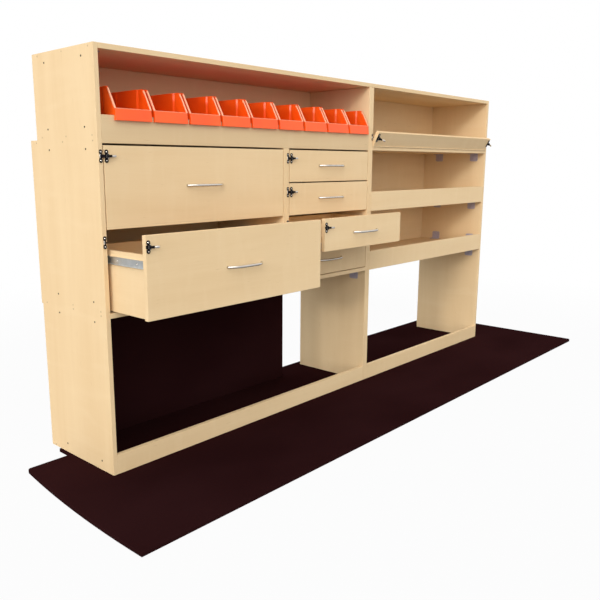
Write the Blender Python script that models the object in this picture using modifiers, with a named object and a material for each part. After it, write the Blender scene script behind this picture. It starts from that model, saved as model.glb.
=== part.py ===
# Plywood racking for the side of a van: a carcass with six drawers, nine hook-on bins,
# three lipped shelves and a tip-out flap, standing on a floor board.
# Metres, Z up, front towards -Y. The origin is at the middle of the floor board's underside.

import math

import bmesh
import bpy
from mathutils import Matrix, Vector

# Board stock, seats and edges
BOARD = 0.015
SEAT_GAP = 0.0003
EMBED = 0.0004
EDGE_BEVEL = 0.0008
WELD_DISTANCE = 0.00001

# Carcass: width, height and depth. Its rear edge steps in, below and above, with the van's wall
CARCASS_WIDTH = 2.350
CARCASS_HEIGHT = 1.250
MIDDLE_DEPTH = 0.368
LOW_STEP = 0.008
HIGH_STEP = 0.039
CENTRE_LINE = 1.302
DRAWER_LINE = 0.779
TOP_BAY_HEIGHT = 0.250
DRAWER_UNIT_HEIGHT = 0.499
SHELF_SPACING = 0.250
LIP_HEIGHT = 0.080
KICK_HEIGHT = 0.068
FASCIA_RISE = 0.047

# Floor board, and the dark panel that closes the wheel arch behind the left bay
FLOOR_THICKNESS = 0.012
FLOOR_DEPTH = 0.850
FLOOR_FRONT_REACH = 0.404
FLOOR_LEFT_REACH = 0.196
FLOOR_RIGHT_REACH = 0.299
FLOOR_END_RADIUS = 4.190
FLOOR_END_APEX = 0.350
FLOOR_CORNER_RADIUS = 0.012
FLOOR_TAB_DEPTH = 0.240
FLOOR_TAB_MARGIN = 0.005
FLOOR_STEP_DEPTH = 0.393
FLOOR_STEP_WIDTH = 0.380
FLOOR_ARCH_MARGIN = 0.031
ARCH_PANEL_RIGHT = 1.089
ARCH_PANEL_SETBACK = 0.067

# Drawers: fronts, boxes and how far the two open ones stand out
FRONT_GAP = 0.0032
FRONT_SIDE_GAP = 0.0025
LARGE_COUNT = 2
SMALL_COUNT = 4
LARGE_OPENING = 0.177
SMALL_OPENING = 0.166
BOX_WALL = 0.012
BOX_REAR_CLEARANCE = 0.008
BOX_RISE = 0.0015
BOX_BOTTOM = 0.006
GROOVE_RISE = 0.008
GROOVE_DEPTH = 0.005
LARGE_BOX_DROP = 0.0565
SMALL_BOX_DROP = 0.021

# Drawer runners: a cabinet channel with its ball races, and a drawer channel between them
RUNNER_SPACE = 0.0127
RUNNER_HEIGHT = 0.035
RUNNER_REACH = 0.0104
RUNNER_SHEET = 0.0012
RUNNER_REAR_CLEARANCE = 0.005
RUNNER_SETBACK = 0.002
MEMBER_HEIGHT = 0.028
MEMBER_FLANGE = 0.0075
RUNNING_GAP = 0.0004
LARGE_RUNNER_LEVEL = 0.154
SMALL_RUNNER_LEVEL = 0.019

# Bow handles
HANDLE_LENGTH = 0.155
HANDLE_RISE = 0.028
HANDLE_RADIUS = 0.0045
HANDLE_FOOT = 0.004
HANDLE_STEPS = 10
HANDLE_FULLNESS = 3

# Latches: a keeper with a post, a base with two ears, a link plate and a lever on a pin
LATCH_HEIGHT = 0.0385
LATCH_SHEET = 0.002
LATCH_DROP = 0.0335
LATCH_FLAT = 0.0003
KEEPER_WIDTH = 0.0105
KEEPER_REACH = 0.00925
BASE_WIDTH = 0.012
BASE_REACH = 0.01015
POST_RADIUS = 0.0022
POST_LENGTH = 0.0045
LINK_HEIGHT = 0.009
LINK_CORNER = 0.002
LINK_SHEET = 0.0018
LINK_MARGIN = 0.0045
LINK_CLEARANCE = 0.0006
LINK_NUB = 0.005
EAR_SPACING = 0.0124
EAR_SHEET = 0.0018
EAR_RADIUS = 0.0032
PIN_RADIUS = 0.0012
PIN_RISE = 0.0078
KNUCKLE_RADIUS = 0.0027
LEVER_LENGTH = 0.0255
LEVER_SHEET = 0.0022
LEVER_NECK = 0.006
LEVER_HEAD = 0.009
LEVER_NECK_SHARE = 0.45
OPEN_LEVER_LIFT = math.radians(20)
FLAP_LEVER_LIFT = math.radians(60)

# Tip-out flap and its continuous hinge
FLAP_HEIGHT = 0.0595
FLAP_SIDE_GAP = 0.002
FLAP_TILT = math.radians(28)
FLAP_LATCH_DROP = 0.0245
LEAF_SHEET = 0.0012
LEAF_WIDTH = 0.012
HINGE_GAP = 0.0004
HINGE_RADIUS = 0.0022
HINGE_PIN_RADIUS = 0.0009
HINGE_KNUCKLES = 17

# Hook-on bins
BIN_COUNT = 9
BIN_PITCH = 0.1362
BIN_WIDTH = 0.1235
BIN_NOSE_WIDTH = 0.1268
BIN_FIRST_LEFT = 0.0577
BIN_WALL = 0.0024
BIN_HEIGHT = 0.125
BIN_REAR_CLEARANCE = 0.026
BIN_TOP_FRONT = 0.025
BIN_NOSE_DEPTH = 0.014
BIN_NOSE_REACH = 0.0078
BIN_NOSE_HEIGHT = 0.033
BIN_HOOK_GAP = 0.0012
BIN_DRAFT = 0.003

# Angle brackets in the corners between boards and uprights
BRACKET_LEG = 0.039
BRACKET_FOOT = 0.034
BRACKET_WIDTH = 0.042
BRACKET_SHEET = 0.0022
BRACKET_BEND = 0.004
BRACKET_FRONT = 0.038
BRACKET_REAR = 0.240

# Roundness of turned and rounded shapes
CORNER_STEPS = 4
END_ARC_STEPS = 12
TIP_STEPS = 6
FLAT_ANGLE = math.radians(1)
ROD_SIDES = 10
TUBE_SIDES = 12

# Places worked out from the sizes above, in the carcass frame:
# x from the left panel's outer face, y back from the front plane, z from the floor board's top
FLOOR_WIDTH = FLOOR_LEFT_REACH + CARCASS_WIDTH + FLOOR_RIGHT_REACH
CENTRE_LEFT = CENTRE_LINE - BOARD
CENTRE_RIGHT = CENTRE_LINE + BOARD
DRAWER_DIVIDER_LEFT = DRAWER_LINE - BOARD
DRAWER_DIVIDER_RIGHT = DRAWER_LINE + BOARD
RIGHT_PANEL = CARCASS_WIDTH - BOARD
MODULE_TOP = CARCASS_HEIGHT - TOP_BAY_HEIGHT
BASE_SHELF_TOP = MODULE_TOP - DRAWER_UNIT_HEIGHT
BASE_SHELF_FOOT = BASE_SHELF_TOP - BOARD
MIDDLE_SHELF_TOP = BASE_SHELF_TOP + SHELF_SPACING
LOWER_SHELF_TOP = BASE_SHELF_TOP + BOARD
LOW_DEPTH = MIDDLE_DEPTH - LOW_STEP
HIGH_DEPTH = MIDDLE_DEPTH - HIGH_STEP
ARCH_PANEL_FRONT = LOW_DEPTH - ARCH_PANEL_SETBACK
BIN_SHELF_TOP = MODULE_TOP + BOARD
FASCIA_TOP = BIN_SHELF_TOP + FASCIA_RISE
FASCIA_FOOT = MODULE_TOP - BOARD
CEILING = CARCASS_HEIGHT - BOARD
HIGH_BACK = HIGH_DEPTH - BOARD
MIDDLE_BACK = MIDDLE_DEPTH - BOARD
BOX_DEPTH = MIDDLE_BACK - BOX_REAR_CLEARANCE - BOARD
RUNNER_LENGTH = BOX_DEPTH - RUNNER_REAR_CLEARANCE
BIN_REAR = HIGH_BACK - BIN_REAR_CLEARANCE
HINGE_AXIS_Y = -HINGE_RADIUS - HINGE_GAP
HINGE_AXIS_Z = MODULE_TOP + SEAT_GAP + LEAF_SHEET + HINGE_GAP / 2
FLAP_FOOT = HINGE_GAP / 2 + LEAF_SHEET + SEAT_GAP
FLAP_FRONT = -HINGE_AXIS_Y
FLAP_LEFT = CENTRE_RIGHT + FLAP_SIDE_GAP
FLAP_WIDTH = RIGHT_PANEL - FLAP_SIDE_GAP - FLAP_LEFT
FLAP_LATCH_LEVEL = FLAP_FOOT + FLAP_HEIGHT - FLAP_LATCH_DROP

# Outlines are drawn in XY, thick along Z. These turns lay them across the carcass: seen from the
# side (XY to YZ), from the front (XY to XZ), or from above with Y running forward
FACING_SIDE = Matrix(((0, 0, 1, 0), (1, 0, 0, 0), (0, 1, 0, 0), (0, 0, 0, 1)))
FACING_FRONT = Matrix.Rotation(math.pi / 2, 4, "X")
FACING_UP = Matrix.Diagonal((1, -1, 1, 1))


def make_material(name, color, roughness, metallic=0.0):
    material = bpy.data.materials.new(name)
    material.use_nodes = True
    shader = material.node_tree.nodes["Principled BSDF"]
    shader.inputs["Base Color"].default_value = (*color, 1)
    shader.inputs["Roughness"].default_value = roughness
    shader.inputs["Metallic"].default_value = metallic
    material.diffuse_color = (*color, 1)
    return material


def make_empty(name, parent, location, rotation=(0, 0, 0)):
    empty = bpy.data.objects.new(name, None)
    collection.objects.link(empty)
    empty.parent = parent
    empty.location = location
    empty.rotation_euler = rotation
    return empty


def make_object(name, bm, material, parent, location=(0, 0, 0), rotation=(0, 0, 0)):
    mesh = bpy.data.meshes.new(name)
    bm.to_mesh(mesh)
    bm.free()
    mesh.materials.append(material)
    piece = bpy.data.objects.new(name, mesh)
    collection.objects.link(piece)
    piece.parent = parent
    piece.location = location
    piece.rotation_euler = rotation
    return piece


def ease_edges(bm):
    # Takes the arris off a sawn board
    bmesh.ops.bevel(bm, geom=bm.edges, offset=EDGE_BEVEL, segments=1, affect="EDGES",
                    profile=0.5, material=-1)


def box(bm, low, high):
    low, high = Vector(low), Vector(high)
    place = Matrix.Translation((low + high) / 2) @ Matrix.Diagonal((*(high - low), 1))
    bmesh.ops.create_cube(bm, size=1, matrix=place)


def rod(bm, start, end, radius, sides=ROD_SIDES):
    start, end = Vector(start), Vector(end)
    turn = (end - start).to_track_quat("Z", "Y").to_matrix().to_4x4()
    bmesh.ops.create_cone(bm, cap_ends=True, segments=sides, radius1=radius, radius2=radius,
                          depth=(end - start).length,
                          matrix=Matrix.Translation((start + end) / 2) @ turn)


def add_curve(bm, curve, place):
    # Turns a curve into a closed mesh, sets it at the matrix place and adds it to bm
    holder = bpy.data.objects.new("curve", curve)
    bpy.context.scene.collection.objects.link(holder)
    depsgraph = bpy.context.evaluated_depsgraph_get()
    mesh = bpy.data.meshes.new_from_object(holder.evaluated_get(depsgraph))
    closed = bmesh.new()
    closed.from_mesh(mesh)
    bmesh.ops.remove_doubles(closed, verts=closed.verts, dist=WELD_DISTANCE)
    bmesh.ops.recalc_face_normals(closed, faces=closed.faces)
    bmesh.ops.transform(closed, matrix=place, verts=closed.verts)
    closed.to_mesh(mesh)
    closed.free()
    bm.from_mesh(mesh)
    bpy.data.objects.remove(holder)
    bpy.data.curves.remove(curve)
    bpy.data.meshes.remove(mesh)


def prism(bm, outlines, thickness, place):
    # Flat outlines in XY, thick from zero along +Z, an inner outline being a hole
    curve = bpy.data.curves.new("outline", "CURVE")
    curve.dimensions = "2D"
    curve.fill_mode = "BOTH"
    curve.extrude = thickness / 2
    for outline in outlines:
        spline = curve.splines.new("POLY")
        spline.points.add(len(outline) - 1)
        for point, (x, y) in zip(spline.points, outline):
            point.co = (x, y, 0, 1)
        spline.use_cyclic_u = True
    add_curve(bm, curve, place @ Matrix.Translation((0, 0, thickness / 2)))


def tube(bm, path, radius, place):
    curve = bpy.data.curves.new("path", "CURVE")
    curve.dimensions = "3D"
    curve.bevel_depth = radius
    curve.bevel_resolution = 2
    curve.use_fill_caps = True
    spline = curve.splines.new("POLY")
    spline.points.add(len(path) - 1)
    for point, spot in zip(spline.points, path):
        point.co = (*spot, 1)
    add_curve(bm, curve, place)


def combine(bm, other, operation):
    # Boolean of two closed bmeshes, by way of two passing objects
    holders = []
    for source in (bm, other):
        mesh = bpy.data.meshes.new("operand")
        source.to_mesh(mesh)
        source.free()
        holder = bpy.data.objects.new("operand", mesh)
        bpy.context.scene.collection.objects.link(holder)
        holders.append(holder)
    cut = holders[0].modifiers.new("combine", "BOOLEAN")
    cut.operation = operation
    cut.solver = "EXACT"
    cut.object = holders[1]
    depsgraph = bpy.context.evaluated_depsgraph_get()
    result = bmesh.new()
    result.from_mesh(holders[0].evaluated_get(depsgraph).data)
    for holder in holders:
        mesh = holder.data
        bpy.data.objects.remove(holder)
        bpy.data.meshes.remove(mesh)
    return result


def fuse(bm, others):
    # One closed body from pieces that bite into each other
    for other in others:
        bm = combine(bm, other, "UNION")
    return bm


def circle(centre, radius, sides):
    steps = [2 * math.pi * step / sides for step in range(sides)]
    return [(centre[0] + radius * math.cos(angle), centre[1] + radius * math.sin(angle))
            for angle in steps]


def round_corner(before, corner, after, radius):
    # Points of the arc that rounds a corner of an outline
    corner = Vector(corner)
    to_before = (Vector(before) - corner).normalized()
    to_after = (Vector(after) - corner).normalized()
    half = to_before.angle(to_after) / 2
    centre = corner + (to_before + to_after).normalized() * radius / math.sin(half)
    start = to_before * radius / math.tan(half) + corner - centre
    sweep = math.copysign(math.pi - 2 * half, to_before.x * to_after.y - to_before.y * to_after.x)
    points = []
    for step in range(CORNER_STEPS + 1):
        turn = Matrix.Rotation(-sweep * step / CORNER_STEPS, 2)
        points.append(tuple(centre + turn @ start))
    return points


def rounded_outline(corners, radius):
    points = []
    for index, corner in enumerate(corners):
        after = corners[(index + 1) % len(corners)]
        points += round_corner(corners[index - 1], corner, after, radius)
    return points


def rectangle(low_x, low_y, high_x, high_y):
    return [(low_x, low_y), (high_x, low_y), (high_x, high_y), (low_x, high_y)]


def upright_outline(top):
    # Side view of a full-height upright: its rear edge steps with the van's wall
    return [(0, SEAT_GAP), (LOW_DEPTH, SEAT_GAP), (LOW_DEPTH, BASE_SHELF_FOOT),
            (MIDDLE_DEPTH, BASE_SHELF_FOOT), (MIDDLE_DEPTH, MODULE_TOP),
            (HIGH_DEPTH, MODULE_TOP), (HIGH_DEPTH, top), (0, top)]


def make_upright(name, left, right, top, fittings):
    bm = bmesh.new()
    prism(bm, [upright_outline(top)], right - left, Matrix.Translation((left, 0, 0)) @ FACING_SIDE)
    make_object(name, fuse(bm, fittings), birch, carcass)


def make_board(name, low, high, material, eased=False):
    # A board between two uprights, drawn in by the seat at both ends
    bm = bmesh.new()
    box(bm, (low[0] + SEAT_GAP, low[1], low[2]), (high[0] - SEAT_GAP, high[1], high[2]))
    if eased:
        ease_edges(bm)
    make_object(name, bm, material, carcass)


def channel(height, depth, web, flange):
    # C section open towards +X, its web on the Z axis
    half = height / 2
    return [(0, -half), (depth, -half), (depth, flange - half), (web, flange - half),
            (web, half - flange), (depth, half - flange), (depth, half), (0, half)]


def cabinet_member(drawer, face, side):
    # Channel screwed to an upright's face, with the ball races along its flanges
    race = (RUNNER_HEIGHT - MEMBER_HEIGHT) / 2 - RUNNING_GAP
    section = channel(RUNNER_HEIGHT, RUNNER_REACH + EMBED, RUNNER_SHEET + EMBED, race)
    rear = BOARD + RUNNER_SETBACK + RUNNER_LENGTH
    place = Matrix.Translation((face - side * EMBED, rear, drawer.foot + drawer.runner_level))
    bm = bmesh.new()
    prism(bm, [section], RUNNER_LENGTH, place @ Matrix.Diagonal((side, 1, 1, 1)) @ FACING_FRONT)
    bmesh.ops.recalc_face_normals(bm, faces=bm.faces)
    return bm


def drawer_member(drawer, web, side):
    # Channel on the drawer's side that runs between the cabinet member's races
    section = channel(MEMBER_HEIGHT, MEMBER_FLANGE + EMBED, RUNNER_SHEET + EMBED, RUNNER_SHEET)
    place = Matrix.Translation((web - side * EMBED, BOARD + SEAT_GAP + RUNNER_LENGTH,
                                drawer.runner_level))
    bm = bmesh.new()
    prism(bm, [section], RUNNER_LENGTH, place @ Matrix.Diagonal((side, 1, 1, 1)) @ FACING_FRONT)
    bmesh.ops.recalc_face_normals(bm, faces=bm.faces)
    return bm


def keeper(x, z):
    # Plate with rounded ends and a straight post that the latch's link slips over
    half_width, half_height = KEEPER_WIDTH / 2, LATCH_HEIGHT / 2
    corners = rectangle(-half_width, -half_height, half_width, half_height)
    plate = bmesh.new()
    prism(plate, [rounded_outline(corners, half_width - LATCH_FLAT)], LATCH_SHEET + EMBED,
          Matrix.Translation((x, EMBED, z)) @ FACING_FRONT)
    post = bmesh.new()
    rod(post, (x, 0, z), (x, -LATCH_SHEET - POST_LENGTH, z), POST_RADIUS)
    return combine(plate, post, "UNION")


def latch_base(linked):
    # Base plate with two ears and a pin between them. The link reaches over the keeper's post
    # when the latch is closed, and is drawn back to a nub when it is open
    half_width, half_height = BASE_WIDTH / 2, LATCH_HEIGHT / 2
    face = LATCH_SHEET + SEAT_GAP + EMBED
    corners = rectangle(-half_width, -half_height, half_width, half_height)
    plate = bmesh.new()
    prism(plate, [rounded_outline(corners, half_width - LATCH_FLAT)], face + EMBED,
          Matrix.Translation((0, EMBED, 0)) @ FACING_FRONT)
    ears = []
    for side in (1, -1):
        near, far = sorted((side * EAR_SPACING / 2, side * (EAR_SPACING / 2 + EAR_SHEET)))
        outline = circle((0, PIN_RISE), EAR_RADIUS, TUBE_SIDES)[:TUBE_SIDES // 2 + 1]
        outline += [(-EAR_RADIUS, face - EMBED), (EAR_RADIUS, face - EMBED)]
        ear = bmesh.new()
        prism(ear, [outline], far - near, Matrix.Translation((0, 0, near)) @ FACING_UP)
        bmesh.ops.recalc_face_normals(ear, faces=ear.faces)
        ears.append(ear)
    pin = bmesh.new()
    reach = (EAR_SPACING + EAR_SHEET) / 2
    rod(pin, (0, -PIN_RISE, -reach), (0, -PIN_RISE, reach), PIN_RADIUS)
    post_centre = -BASE_REACH - KEEPER_REACH
    left = post_centre - LINK_MARGIN if linked else -half_width - LINK_NUB
    corners = rectangle(left, -LINK_HEIGHT / 2, half_width / 2, LINK_HEIGHT / 2)
    outlines = [rounded_outline(corners, LINK_CORNER)]
    if linked:
        outlines.append(circle((post_centre, 0), POST_RADIUS + LINK_CLEARANCE, ROD_SIDES))
    link = bmesh.new()
    prism(link, outlines, LINK_SHEET, Matrix.Translation((0, EMBED - face, 0)) @ FACING_FRONT)
    return fuse(plate, ears + [pin, link])


def lever():
    # Knuckle round the pin, and a flat arm whose neck widens to a rounded thumb tip.
    # The pin's axis is the mesh's Z axis
    half_height = EAR_SPACING / 2 - SEAT_GAP
    knuckle = bmesh.new()
    bore = PIN_RADIUS + SEAT_GAP
    rings = [circle((0, 0), KNUCKLE_RADIUS, TUBE_SIDES), circle((0, 0), bore, ROD_SIDES)]
    prism(knuckle, rings, 2 * half_height, Matrix.Translation((0, 0, -half_height)))
    head = LEVER_HEAD / 2
    sweep = [math.pi / 2 - math.pi * step / TIP_STEPS for step in range(TIP_STEPS + 1)]
    tip = [(LEVER_LENGTH + head * (math.cos(angle) - 1), head * math.sin(angle))
           for angle in sweep]
    upper = [((KNUCKLE_RADIUS + bore) / 2, head), (LEVER_LENGTH * LEVER_NECK_SHARE, LEVER_NECK / 2)]
    lower = [(x, -z) for x, z in reversed(upper)]
    arm = bmesh.new()
    prism(arm, [upper + tip + lower], LEVER_SHEET,
          Matrix.Translation((0, LEVER_SHEET / 2, 0)) @ FACING_FRONT)
    return combine(knuckle, arm, "UNION")


def handle():
    # Bow: short square feet, then a full arch between them
    half = HANDLE_LENGTH / 2 - HANDLE_RADIUS
    rise = HANDLE_RISE - HANDLE_RADIUS
    path = [(-half, -SEAT_GAP, 0)]
    for step in range(HANDLE_STEPS + 1):
        share = 2 * step / HANDLE_STEPS - 1
        arch = 1 - abs(share) ** HANDLE_FULLNESS
        path.append((half * share, -HANDLE_FOOT - (rise - HANDLE_FOOT) * arch, 0))
    path.append((half, -SEAT_GAP, 0))
    bm = bmesh.new()
    tube(bm, path, HANDLE_RADIUS, Matrix())
    return bm


class Drawer:
    # Sizes and places of one drawer, in the carcass frame, its parts counted from its own foot
    def __init__(self, name, left, right, row, count, box_drop, runner_level, opening):
        self.name = name
        self.opening_left = left
        self.opening_right = right
        self.left = left + FRONT_SIDE_GAP
        self.width = right - left - 2 * FRONT_SIDE_GAP
        self.height = (FASCIA_FOOT - BASE_SHELF_TOP - (count + 1) * FRONT_GAP) / count
        self.foot = FASCIA_FOOT - (row + 1) * (self.height + FRONT_GAP)
        self.box_top = self.height - box_drop
        self.runner_level = runner_level
        self.latch_level = self.height - LATCH_DROP
        self.opening = opening


def list_large_drawers():
    openings = [0] * (LARGE_COUNT - 1) + [LARGE_OPENING]
    return [Drawer(f"large_drawer_{row + 1}", BOARD, DRAWER_DIVIDER_LEFT, row, LARGE_COUNT,
                   LARGE_BOX_DROP, LARGE_RUNNER_LEVEL, opening)
            for row, opening in enumerate(openings)]


def list_small_drawers():
    openings = [0] * (SMALL_COUNT - 2) + [SMALL_OPENING, 0]
    return [Drawer(f"small_drawer_{row + 1}", DRAWER_DIVIDER_RIGHT, CENTRE_LEFT, row, SMALL_COUNT,
                   SMALL_BOX_DROP, SMALL_RUNNER_LEVEL, opening)
            for row, opening in enumerate(openings)]


def bracket(face, side, corner, rise, depth):
    # Bent sheet with its upright leg on an upright's face and its other leg along a board.
    # Side is the way that it stands off the face, rise the way that its upright leg points
    sheet = BRACKET_SHEET
    profile = [(-EMBED, sheet + BRACKET_BEND), (-EMBED, BRACKET_LEG), (sheet, BRACKET_LEG),
               (sheet, sheet + BRACKET_BEND), (sheet + BRACKET_BEND, sheet), (BRACKET_FOOT, sheet),
               (BRACKET_FOOT, 0), (BRACKET_BEND, 0)]
    place = Matrix.Translation((face, depth + BRACKET_WIDTH, corner + rise * SEAT_GAP))
    bm = bmesh.new()
    prism(bm, [profile], BRACKET_WIDTH, place @ Matrix.Diagonal((side, 1, rise, 1)) @ FACING_FRONT)
    bmesh.ops.recalc_face_normals(bm, faces=bm.faces)
    return bm


def brackets(face, side, corners):
    return [bracket(face, side, corner, rise, depth) for corner, rise in corners
            for depth in (BRACKET_FRONT, BRACKET_REAR)]


def drawer_keeper(drawer):
    return keeper(drawer.left - KEEPER_REACH, drawer.foot + drawer.latch_level)


def make_uprights(large, small):
    flap_level = HINGE_AXIS_Z + FLAP_LATCH_LEVEL
    shelf_corners = [(MODULE_TOP - BOARD, -1), (MIDDLE_SHELF_TOP - BOARD, -1),
                     (LOWER_SHELF_TOP, 1), (BASE_SHELF_FOOT, -1)]
    make_upright("left_side_panel", 0, BOARD, CARCASS_HEIGHT,
                 brackets(BOARD, 1, [(CEILING, -1), (BIN_SHELF_TOP, 1), (MODULE_TOP - BOARD, -1),
                                     (BASE_SHELF_TOP, 1), (BASE_SHELF_FOOT, -1), (0, 1)])
                 + [cabinet_member(drawer, BOARD, 1) for drawer in large]
                 + [drawer_keeper(drawer) for drawer in large])
    make_upright("right_side_panel", RIGHT_PANEL, CARCASS_WIDTH, CARCASS_HEIGHT,
                 brackets(RIGHT_PANEL, -1, shelf_corners)
                 + [keeper(FLAP_LEFT + FLAP_WIDTH + KEEPER_REACH, flap_level)])
    make_upright("centre_divider", CENTRE_LEFT, CENTRE_RIGHT, CEILING - SEAT_GAP,
                 brackets(CENTRE_RIGHT, 1, shelf_corners)
                 + brackets(CENTRE_LEFT, -1, [(BASE_SHELF_FOOT, -1)])
                 + [cabinet_member(drawer, CENTRE_LEFT, -1) for drawer in small]
                 + [keeper(FLAP_LEFT - KEEPER_REACH, flap_level)])
    bm = bmesh.new()
    box(bm, (DRAWER_DIVIDER_LEFT, 0, BASE_SHELF_TOP + SEAT_GAP),
        (DRAWER_DIVIDER_RIGHT, MIDDLE_BACK - SEAT_GAP, MODULE_TOP - BOARD - SEAT_GAP))
    fittings = [cabinet_member(drawer, DRAWER_DIVIDER_LEFT, -1) for drawer in large]
    fittings += [cabinet_member(drawer, DRAWER_DIVIDER_RIGHT, 1) for drawer in small]
    fittings += [drawer_keeper(drawer) for drawer in small]
    make_object("drawer_divider", fuse(bm, fittings), birch, carcass)


def make_shelves():
    behind = BOARD + SEAT_GAP
    rear = MIDDLE_BACK - SEAT_GAP
    make_board("top_panel", (BOARD, 0, CEILING), (RIGHT_PANEL, HIGH_DEPTH, CARCASS_HEIGHT), birch)
    make_board("bin_shelf", (BOARD, behind, MODULE_TOP + SEAT_GAP),
               (CENTRE_LEFT, HIGH_DEPTH, BIN_SHELF_TOP), birch)
    make_board("drawer_unit_top", (BOARD, behind, MODULE_TOP - BOARD),
               (CENTRE_LEFT, MIDDLE_DEPTH, MODULE_TOP), birch)
    make_board("base_shelf", (BOARD, 0, BASE_SHELF_FOOT), (CENTRE_LEFT, rear, BASE_SHELF_TOP), birch)
    make_board("upper_right_shelf", (CENTRE_RIGHT, 0, MODULE_TOP - BOARD),
               (RIGHT_PANEL, MIDDLE_DEPTH, MODULE_TOP), birch)
    make_board("middle_right_shelf", (CENTRE_RIGHT, behind, MIDDLE_SHELF_TOP - BOARD),
               (RIGHT_PANEL, rear, MIDDLE_SHELF_TOP), birch)
    # The lower right shelf is two boards thick
    make_board("lower_right_shelf", (CENTRE_RIGHT, behind, BASE_SHELF_FOOT),
               (RIGHT_PANEL, rear, LOWER_SHELF_TOP), birch)


def make_front_boards():
    make_board("bin_shelf_fascia", (BOARD, 0, FASCIA_FOOT), (CENTRE_LEFT, BOARD, FASCIA_TOP),
               birch, eased=True)
    for name, foot in (("middle_shelf_lip", MIDDLE_SHELF_TOP - BOARD),
                       ("lower_shelf_lip", BASE_SHELF_FOOT)):
        make_board(name, (CENTRE_RIGHT, 0, foot), (RIGHT_PANEL, BOARD, foot + LIP_HEIGHT),
                   birch, eased=True)
    make_board("kick_rail_left", (BOARD, 0, SEAT_GAP), (CENTRE_LEFT, BOARD, KICK_HEIGHT),
               birch, eased=True)
    make_board("kick_rail_right", (CENTRE_RIGHT, 0, SEAT_GAP), (RIGHT_PANEL, BOARD, KICK_HEIGHT),
               birch, eased=True)


def make_back_panels():
    middle_top = MODULE_TOP - BOARD - SEAT_GAP
    high_top = CEILING - SEAT_GAP
    make_board("drawer_unit_back", (BOARD, MIDDLE_BACK, BASE_SHELF_FOOT),
               (CENTRE_LEFT, MIDDLE_DEPTH, middle_top), birch)
    make_board("middle_right_back", (CENTRE_RIGHT, MIDDLE_BACK, BASE_SHELF_FOOT),
               (RIGHT_PANEL, MIDDLE_DEPTH, middle_top), birch)
    make_board("bin_bay_back", (BOARD, HIGH_BACK, BIN_SHELF_TOP + SEAT_GAP),
               (CENTRE_LEFT, HIGH_DEPTH, high_top), birch)
    make_board("upper_right_back", (CENTRE_RIGHT, HIGH_BACK, MODULE_TOP + SEAT_GAP),
               (RIGHT_PANEL, HIGH_DEPTH, high_top), birch)


def end_arc_x(y):
    # The floor board's left end is a shallow arc that bulges most near the front
    centre = FLOOR_END_RADIUS - FLOOR_LEFT_REACH
    return centre - math.sqrt(FLOOR_END_RADIUS ** 2 - (y + FLOOR_END_APEX) ** 2)


def floor_outline():
    front = -FLOOR_FRONT_REACH
    rear = front + FLOOR_DEPTH
    right = CARCASS_WIDTH + FLOOR_RIGHT_REACH
    arch_rear = ARCH_PANEL_FRONT + BOARD
    arch_right = ARCH_PANEL_RIGHT + FLOOR_ARCH_MARGIN
    step_right = arch_right + FLOOR_STEP_WIDTH
    front_left = (end_arc_x(front), front)
    points = [front_left]
    points += round_corner(front_left, (right, front), (right, rear), FLOOR_CORNER_RADIUS)
    points += round_corner((right, front), (right, rear), (step_right, rear), FLOOR_CORNER_RADIUS)
    points += [(step_right, rear), (step_right, FLOOR_STEP_DEPTH), (arch_right, FLOOR_STEP_DEPTH),
               (arch_right, arch_rear), (-FLOOR_TAB_MARGIN, arch_rear),
               (-FLOOR_TAB_MARGIN, FLOOR_TAB_DEPTH)]
    tip = (end_arc_x(FLOOR_TAB_DEPTH), FLOOR_TAB_DEPTH)
    below_tip = FLOOR_TAB_DEPTH - FLOOR_CORNER_RADIUS
    points += round_corner(points[-1], tip, (end_arc_x(below_tip), below_tip), FLOOR_CORNER_RADIUS)
    start = points[-1][1]
    for step in range(1, END_ARC_STEPS):
        y = start + (front - start) * step / END_ARC_STEPS
        points.append((end_arc_x(y), y))
    return points


def make_floor():
    bm = bmesh.new()
    prism(bm, [floor_outline()], FLOOR_THICKNESS, Matrix.Translation((0, 0, -FLOOR_THICKNESS)))
    make_object("floor_board", bm, dark_ply, carcass)
    make_board("wheel_arch_panel", (BOARD, ARCH_PANEL_FRONT, SEAT_GAP),
               (ARCH_PANEL_RIGHT, ARCH_PANEL_FRONT + BOARD, BASE_SHELF_FOOT - SEAT_GAP), dark_ply)


def drawer_box(drawer):
    # Two sides, a back between them and a bottom panel let into the sides
    front = BOARD + SEAT_GAP
    rear = BOARD + BOX_DEPTH
    left = RUNNER_SPACE - FRONT_SIDE_GAP
    right = drawer.width - left
    bottom = BOX_RISE + GROOVE_RISE
    first = bmesh.new()
    box(first, (left, front, BOX_RISE), (left + BOX_WALL, rear, drawer.box_top))
    second = bmesh.new()
    box(second, (right - BOX_WALL, front, BOX_RISE), (right, rear, drawer.box_top))
    back = bmesh.new()
    box(back, (left + BOX_WALL - EMBED, rear - BOX_WALL, bottom),
        (right - BOX_WALL + EMBED, rear, drawer.box_top))
    panel = bmesh.new()
    box(panel, (left + BOX_WALL - GROOVE_DEPTH, front, bottom),
        (right - BOX_WALL + GROOVE_DEPTH, rear - BOX_WALL / 2, bottom + BOX_BOTTOM))
    members = [drawer_member(drawer, left, -1), drawer_member(drawer, right, 1)]
    return fuse(first, [second, back, panel] + members)


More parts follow.
